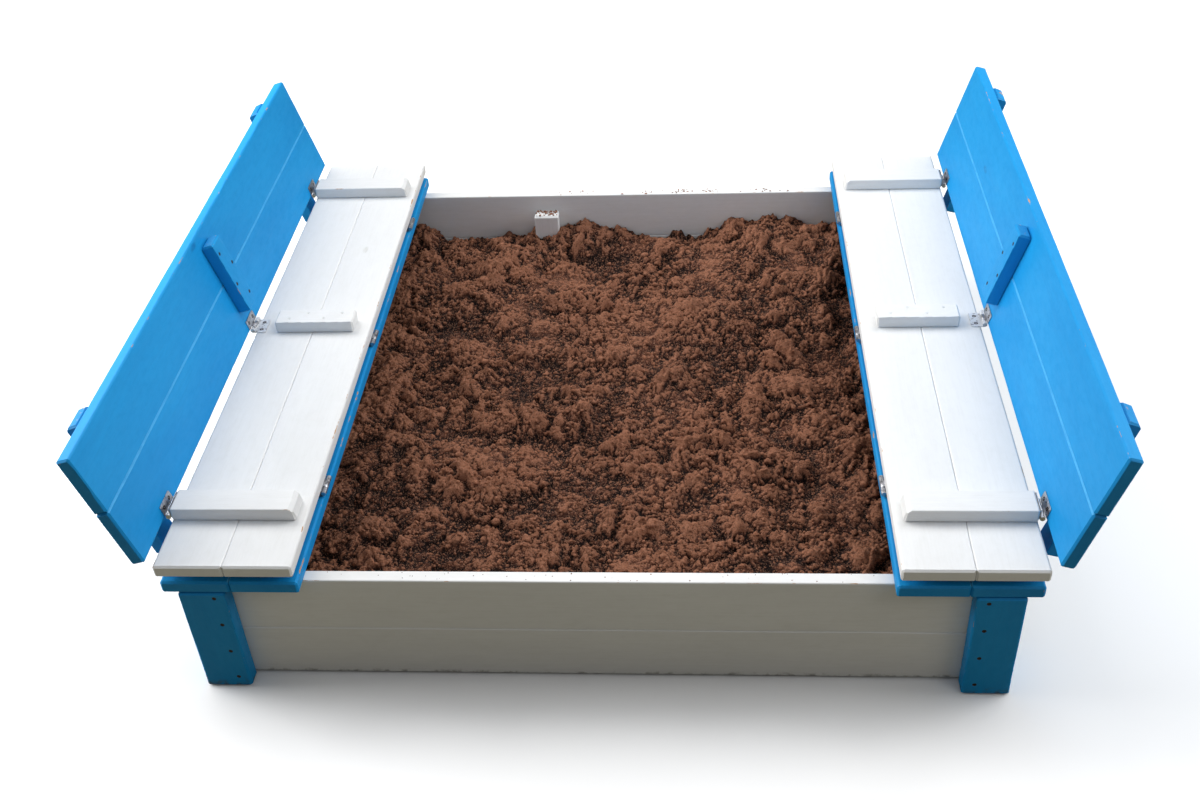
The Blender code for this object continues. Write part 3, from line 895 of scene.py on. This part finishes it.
def hinges():
    pins = {joint["name"]: Vector(joint["pos_m"]) for joint in frame["joints"]}
    up = Vector((0, 0, 1))
    for side, sign in SIDES.items():
        lean = Matrix.Rotation(lean_of(f"backrest_{side}_lower"), 3, "Y")
        behind = lean @ Vector((sign, 0, 0))
        seat_pin = pins[f"seat_{side}_fold"]
        back_pin = pins[f"backrest_{side}_fold"]
        for where in ("front", "middle", "back"):
            node = f"seat_hinge_{side}_{where}"
            leaf(f"{node}_shelf_leaf", seat_pin, -up, True, ZINC)
            leaf(f"{node}_seat_leaf", seat_pin, up, False, ZINC)
            node = f"backrest_hinge_{side}_{where}"
            if where == "middle":
                leaf(f"{node}_seat_leaf", back_pin, -up, True, OVERPAINTED)
            else:
                leaf(f"{node}_seat_leaf", back_pin, Vector((-sign, 0, 0)), True, ZINC)
            leaf(f"{node}_back_leaf", back_pin, behind, False, ZINC)


# ---------------------------------------------------------------- sand


def cad_surface():
    node = frame["nodes"]["sand_fill"]
    mesh = node.data
    tree = BVHTree.FromPolygons([v.co for v in mesh.vertices], [p.vertices for p in mesh.polygons])
    low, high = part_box("sand_fill")

    def height(x, y):
        x = min(max(x, low.x + 0.002), high.x - 0.002)
        y = min(max(y, low.y + 0.002), high.y - 0.002)
        hit = tree.ray_cast(Vector((x, y, 0.5)), Vector((0, 0, -1)))[0]
        return hit.z if hit and hit.z > 0.05 else None

    return height


def spread(low, high, visible):
    """Grid lines, close together where the surface shows and wide apart under the shelves."""
    inner = np.arange(-visible, visible + SAND_STEP / 2, SAND_STEP)
    left = np.linspace(low, -visible, max(2, round((-visible - low) / SAND_HIDDEN_STEP)))[:-1]
    right = -left[::-1] * (high / -low)
    return np.concatenate([left, inner[1:-1], right])


def bank(x, y, centre, reach):
    """1 at a place, falling smoothly to 0 a reach away from it."""
    far = math.hypot((x - centre[0]) / reach[0], (y - centre[1]) / reach[1])
    return (1 - far * far) ** 2 if far < 1 else 0.0


BACK_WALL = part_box("wall_back_upper")[0].y


def dug_shape(x, y):
    """What was heaped up and scooped out by hand, above and below the smooth fill."""
    wall = BACK_WALL
    crest = 0.017 * bank(x, y, (-0.13, wall), (0.27, 0.085))
    corner = 0.034 * bank(x, y, (-0.430, wall - 0.015), (0.055, 0.060))
    trench = -0.021 * bank(x, y, (-0.02, wall - 0.115), (0.28, 0.080))
    far_trench = -0.012 * bank(x, y, (0.15, wall - 0.02), (0.10, 0.10))
    hollows = -0.014 * bank(x, y, (-0.33, -0.02), (0.11, 0.16))
    hollows -= 0.012 * bank(x, y, (0.30, -0.22), (0.13, 0.12))
    hollows -= 0.010 * bank(x, y, (0.02, -0.44), (0.20, 0.10))
    ridges = 0.012 * bank(x, y, (0.10, 0.24), (0.18, 0.10))
    ridges += 0.012 * bank(x, y, (-0.30, 0.28), (0.14, 0.11))
    ridges += 0.010 * bank(x, y, (-0.18, -0.22), (0.17, 0.09))
    return crest + corner + DUG_SHARE * (trench + far_trench + hollows + ridges)


def billow(x, y, scale, seed):
    """Rounded lumps of about a scale's width with sharp creases between them."""
    return abs(noise.noise((x / scale, y / scale, seed))) * 2.2


def sand_relief(x, y):
    """Height of the loose surface: dug waves, heaps, clods and crumbs."""
    warp_x = x + 0.005 * noise.noise((x * 70, y * 70, 3)) + 0.014 * noise.noise((x * 15, y * 15, 4))
    warp_y = y + 0.005 * noise.noise((x * 70, y * 70, 7)) + 0.014 * noise.noise((x * 15, y * 15, 8))
    waves = noise.noise((x * 6.5, y * 6.5, 1.0)) + 0.55 * noise.noise((x * 15, y * 15, 2.0))
    loose = 0.88 + 1.1 * noise.noise((x * 9, y * 9, 21)) + 0.5 * noise.noise((x * 25, y * 25, 22))
    shelter = min(1.0, max(0.0, (abs(x) - SHELTER_START) / SHELTER_FADE))
    loose = min(1.15, max(0.22, loose)) * (1 - 0.85 * shelter)
    heaps = 0.0110 * billow(warp_x, warp_y, 0.105, 17.5) * (1 - shelter) - 0.0050
    clods = 0.0120 * billow(warp_x, warp_y, 0.046, 2.5)
    clods += 0.0050 * billow(warp_x, warp_y, 0.0190, 5.5)
    crumbs = 0.0046 * billow(warp_x, warp_y, 0.0090, 9.5) + 0.0027 * billow(x, y, 0.0056, 13.5)
    return 0.0120 * waves + heaps + loose * (clods + crumbs) + dug_shape(x, y)


def sand_heights(xs, ys):
    base = cad_surface()
    cleat_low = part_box("wall_back_cleat")[0]
    heights = np.empty((len(xs), len(ys)))
    for i, x in enumerate(xs):
        for j, y in enumerate(ys):
            floor = base(x, y)
            if floor is None:
                floor = base(cleat_low.x - 0.005, y)
            heights[i, j] = floor + sand_relief(x, y) - MEAN_RELIEF
    return heights


def standing(heights):
    """How far each point lies above or below the surface round it, from 1 to -1: the sand's shader
    paints shade into the hollows and light onto the tops from it.
    """
    found = np.zeros_like(heights)
    blurred = heights.copy()
    for passes, depth, share in ((4, 0.0011, 0.34), (26, 0.0038, 0.40), (320, 0.0110, 0.55)):
        for _ in range(passes):
            blurred[1:-1, 1:-1] = (
                blurred[:-2, 1:-1] + blurred[2:, 1:-1] + blurred[1:-1, :-2] + blurred[1:-1, 2:]
            ) / 4
        found += share * np.clip((heights - blurred) / depth, -1.0, 1.0)
    return np.clip(found, -1.0, 1.0)


def sand_tile(name, xs, ys, heights, stands):
    """A closed piece of the sand: its surface, its sides and its underside."""
    bottom_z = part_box("sand_fill")[0].z
    grid_x, grid_y = np.meshgrid(xs, ys, indexing="ij")
    top = np.stack([grid_x, grid_y, heights], -1).reshape(-1, 3)
    rows, columns = heights.shape
    index = np.arange(rows * columns).reshape(rows, columns)
    quads = np.stack([index[:-1, :-1], index[1:, :-1], index[1:, 1:], index[:-1, 1:]], -1)
    rim = np.concatenate([index[:, 0], index[-1, 1:], index[-2::-1, -1], index[0, -2:0:-1]])
    below = top[rim].copy()
    below[:, 2] = bottom_z
    centre = np.array([[0.0, (ys[0] + ys[-1]) / 2, bottom_z]])
    points = np.concatenate([top, below, centre])
    first = len(top)
    count = len(rim)
    after = np.roll(np.arange(count), -1)
    skirt = np.stack([rim, first + np.arange(count), first + after, rim[after]], -1)
    bottom = [(first + (n + 1) % count, first + n, first + count) for n in range(count)]
    mesh = bpy.data.meshes.new(name)
    mesh.from_pydata(points.tolist(), [], quads.reshape(-1, 4).tolist() + skirt.tolist() + bottom)
    face_outward(mesh)
    # stands carries the painted shade of the hollows and the painted light of the tops to the
    # shader
    float_attribute(mesh, "stands", np.concatenate([stands.ravel(), np.zeros(count + 1)]))
    mesh.shade_smooth()
    piece = new_piece(name, mesh, "box", SAND)
    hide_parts("sand_fill")


def sand():
    low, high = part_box("sand_fill")
    visible = abs(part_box("shelf_right")[0].x) + SEEN_UNDER_SHELF
    xs = spread(low.x, high.x, visible)
    ys = np.linspace(low.y, high.y, round((high.y - low.y) / SAND_STEP))
    heights = sand_heights(xs, ys)
    stands = standing(heights)
    middle = len(ys) // 2
    for name, part in (("front", slice(0, middle + 1)), ("rear", slice(middle, None))):
        sand_tile(f"sand_{name}", xs, ys[part], heights[:, part], stands[:, part])
    return xs, ys, heights


def surface_at(xs, ys, heights, x, y):
    i = np.clip(np.searchsorted(xs, x) - 1, 0, len(xs) - 2)
    j = np.clip(np.searchsorted(ys, y) - 1, 0, len(ys) - 2)
    u = (x - xs[i]) / (xs[i + 1] - xs[i])
    v = (y - ys[j]) / (ys[j + 1] - ys[j])
    a = heights[i, j] * (1 - u) + heights[i + 1, j] * u
    b = heights[i, j + 1] * (1 - u) + heights[i + 1, j + 1] * u
    return a * (1 - v) + b * v


def turned(rng, count):
    """Random rotations, as an array of 3 by 3 matrices."""
    q = rng.normal(size=(count, 4))
    q /= np.linalg.norm(q, axis=1)[:, None]
    w, x, y, z = q.T
    rows = [
        [1 - 2 * (y * y + z * z), 2 * (x * y - z * w), 2 * (x * z + y * w)],
        [2 * (x * y + z * w), 1 - 2 * (x * x + z * z), 2 * (y * z - x * w)],
        [2 * (x * z - y * w), 2 * (y * z + x * w), 1 - 2 * (x * x + y * y)],
    ]
    return np.array(rows).transpose(2, 0, 1)


def scattered(name, places, radii, subdivisions, seed, height=1.0):
    """One piece of many lumps, each a dented ball of its own shape, or a flake where height is
    small."""
    rng = np.random.default_rng(seed)
    shape = bmesh.new()
    bmesh.ops.create_icosphere(shape, subdivisions=subdivisions, radius=1.0)
    ball = np.array([v.co for v in shape.verts])
    faces = np.array([[v.index for v in f.verts] for f in shape.faces])
    shape.free()
    count = len(places)
    dents = 1 + rng.uniform(-0.28, 0.28, size=(count, len(ball), 1))
    stretch = rng.uniform(0.65, 1.15, size=(count, 1, 3))
    points = ball[None] * dents * stretch
    points = np.einsum("nij,nkj->nki", turned(rng, count), points)
    points = points * np.array([1, 1, height]) * radii[:, None, None] + places[:, None, :]
    all_faces = faces[None] + (np.arange(count) * len(ball))[:, None, None]
    mesh = bpy.data.meshes.new(name)
    mesh.from_pydata(points.reshape(-1, 3).tolist(), [], all_faces.reshape(-1, 3).tolist())
    # painted light and shade on each lump: its top lighter, its underside darker
    stands = 0.35 + 0.65 * np.clip((points[..., 2] - places[:, None, 2]) / radii[:, None], -1, 1)
    float_attribute(mesh, "stands", stands.ravel())
    mesh.shade_smooth()
    return new_piece(name, mesh, "box", LOOSE_SAND)


def loose_sand(xs, ys, heights):
    """Clods and crumbs that lie on the surface between the shelves."""
    low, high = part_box("sand_fill")
    edge = abs(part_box("shelf_right")[0].x) + LOOSE_UNDER_SHELF
    for name, count, small, large, subdivisions, seed in (
        ("sand_clods", CLOD_COUNT, 0.0030, 0.0075, 2, 11),
        ("sand_crumbs", CRUMB_COUNT, 0.0014, 0.0042, 1, 12),
        ("sand_grit", CRUMB_COUNT, 0.0011, 0.0030, 1, 13),
    ):
        rng = np.random.default_rng(seed)
        x = rng.uniform(-edge, edge, count)
        y = rng.uniform(low.y + 0.006, high.y - 0.006, count)
        radii = small + (large - small) * rng.power(0.45, count)
        z = surface_at(xs, ys, heights, x, y) + radii * rng.uniform(-0.45, 0.25, count)
        y = np.clip(y, low.y + radii, high.y - radii)
        clear = ~inside_cleat(x, y, radii)
        places = np.stack([x, y, z], -1)[clear]
        scattered(name, places, radii[clear], subdivisions, seed)


def inside_cleat(x, y, radii):
    low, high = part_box("wall_back_cleat")
    return (x > low.x - radii) & (x < high.x + radii) & (y > low.y - radii)


def bits_on_ledges():
    """Crumbs left on top of the back wall's cleat and on the walls' top edges."""
    low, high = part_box("wall_back_cleat")
    rng = np.random.default_rng(5)
    count = 60
    radii = rng.uniform(0.0008, 0.0026, count)
    x = rng.uniform(low.x + 0.003, high.x - 0.003, count)
    y = low.y + 0.003 + (high.y - low.y - 0.006) * rng.power(1.6, count)
    scattered("cleat_crumbs", np.stack([x, y, high.z + radii * 0.35], -1), radii, 1, 6)

    low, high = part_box("wall_back_upper")
    x = np.concatenate([rng.normal(0.115, 0.012, 16), rng.normal(0.172, 0.010, 18)])
    x = np.concatenate([x, rng.uniform(-0.15, 0.36, 34), rng.normal(0.29, 0.008, 9)])
    count = len(x)
    y = rng.uniform(low.y + 0.003, high.y - 0.003, count)
    radii = rng.uniform(0.0007, 0.0030, count)
    z = np.full(count, high.z)
    scattered("back_wall_crumbs", np.stack([x, y, z], -1), radii, 1, 8, WALL_FLAKE)

    low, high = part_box("wall_front_upper")
    x = rng.uniform(-0.40, 0.40, 40)
    y = rng.uniform(low.y + 0.003, high.y - 0.002, 40)
    radii = rng.uniform(0.0005, 0.0014, 40)
    z = np.full(40, high.z)
    scattered("front_wall_crumbs", np.stack([x, y, z], -1), radii, 1, 9, WALL_FLAKE)


# ---------------------------------------------------------------- stage


def floor():
    """Pale to the camera, and darker and warmer to the light that it throws back."""
    shape = bmesh.new()
    bmesh.ops.create_grid(shape, x_segments=1, y_segments=1, size=FLOOR_REACH)
    mesh = as_mesh(shape, "floor")
    obj = helper(mesh)
    obj.location.z = -FLOOR_GAP
    s = Shader("floor")
    seen = s.node("LightPath", output="Is Camera Ray")
    s.set(base_color=s.mix(seen, colour(0.205, 0.180, 0.100), colour(0.92, 0.92, 0.92)))
    s.set(roughness=0.9)
    mesh.materials.append(s.material)


def area_light(name, location, target, size, power, tint):
    data = bpy.data.lights.new(name, "AREA")
    data.shape = "DISK"
    data.size = size
    data.energy = power
    data.color = tint
    obj = bpy.data.objects.new(name, data)
    COLLECTION.objects.link(obj)
    obj.location = location
    direction = Vector(target) - Vector(location)
    obj.rotation_euler = direction.to_track_quat("-Z", "Y").to_euler()
    return obj


def spare(light, pieces):
    """Keeps a light off some pieces."""
    spared = bpy.data.collections.new(f"{light.name}_spares")
    for piece in pieces:
        spared.objects.link(piece)
    for item in spared.collection_objects:
        item.light_linking.link_state = "EXCLUDE"
    light.light_linking.receiver_collection = spared


def lights():
    """Soft light from above, and two low panels for the backrests' inner faces, which would be
    too strong on the white side walls."""
    sides = ("wall_left", "wall_right")
    side_walls = [obj for obj in COLLECTION.objects if obj.name.startswith(sides)]
    area_light("key", (-2.0, 1.6, 3.0), (0.1, 0.0, 0.15), 2.4, 78.0, (1.0, 0.99, 0.97))
    area_light("fill", (1.9, 1.4, 3.2), (0.0, 0.0, 0.15), 2.4, 58.0, (0.97, 0.985, 1.0))
    area_light("sky", (0.3, 0.6, 4.2), (0, 0.1, 0), 3.0, 32.0, (0.94, 0.97, 1.0))
    plain = (1.0, 1.0, 1.0)
    left = area_light("left_panel", (-3.0, 0.1, 1.35), (0.6, 0.0, 0.3), 1.8, 106.0, plain)
    right = area_light("right_panel", (2.8, 0.1, 1.35), (-0.6, 0.0, 0.3), 1.8, 46.0, plain)
    area_light("front_right", (1.9, -1.7, 2.2), (0.1, 0.0, 0.1), 1.2, 6.5, (1.0, 0.99, 0.95))
    spare(left, side_walls)
    spare(right, side_walls)
    world = bpy.data.worlds.new("world")
    world.use_nodes = True
    background = world.node_tree.nodes["Background"]
    background.inputs["Color"].default_value = (0.96, 0.97, 1.0, 1.0)
    background.inputs["Strength"].default_value = 0.19
    bpy.context.scene.world = world


def camera():
    """In front, a little to the right, looking down into the pit."""
    yaw, pitch, roll = (math.radians(angle) for angle in CAMERA_ANGLES)
    data = bpy.data.cameras.new("camera")
    data.lens = CAMERA_LENS
    data.sensor_width = 36.0
    data.clip_start = 0.05
    obj = bpy.data.objects.new("camera", data)
    COLLECTION.objects.link(obj)
    turn = Matrix.Rotation(yaw, 4, "Z") @ Matrix.Rotation(math.pi / 2 + pitch, 4, "X")
    turn = turn @ Matrix.Rotation(roll, 4, "Z")
    obj.matrix_world = Matrix.Translation(CAMERA_PLACE) @ turn
    bpy.context.scene.camera = obj


# ---------------------------------------------------------------- the object

bpy.context.scene.view_settings.view_transform = "Standard"

WHITE = painted_wood(
    "white_painted_wood",
    paint=colour(0.80, 0.80, 0.795),
    light=colour(0.84, 0.84, 0.835),
    knot=colour(0.60, 0.59, 0.55),
    joint_highlight=colour(0.86, 0.86, 0.86),
    gloss=0.48,
    relief=0.00013,
    specular=0.35,
)
BLUE = painted_wood(
    "blue_painted_wood",
    paint=colour(0.003, 0.262, 0.620),
    light=colour(0.007, 0.305, 0.680),
    knot=colour(0.002, 0.140, 0.400),
    joint_highlight=colour(0.085, 0.460, 0.820),
    gloss=0.46,
    relief=0.00016,
    specular=0.25,
)
ZINC = zinc_plate()
OVERPAINTED = overpainted_zinc()
DARK_SCREW = dark_screw()
SAND = damp_sand("damp_sand", 0.0009)
LOOSE_SAND = damp_sand("loose_sand", 0.0007)
SCREW = screw_mesh()

camera()
walls()
legs()
shelves()
seats()
backrests()
hinges()
loose_sand(*sand())
bits_on_ledges()
floor()
lights()

bpy.data.meshes.remove(SCREW)
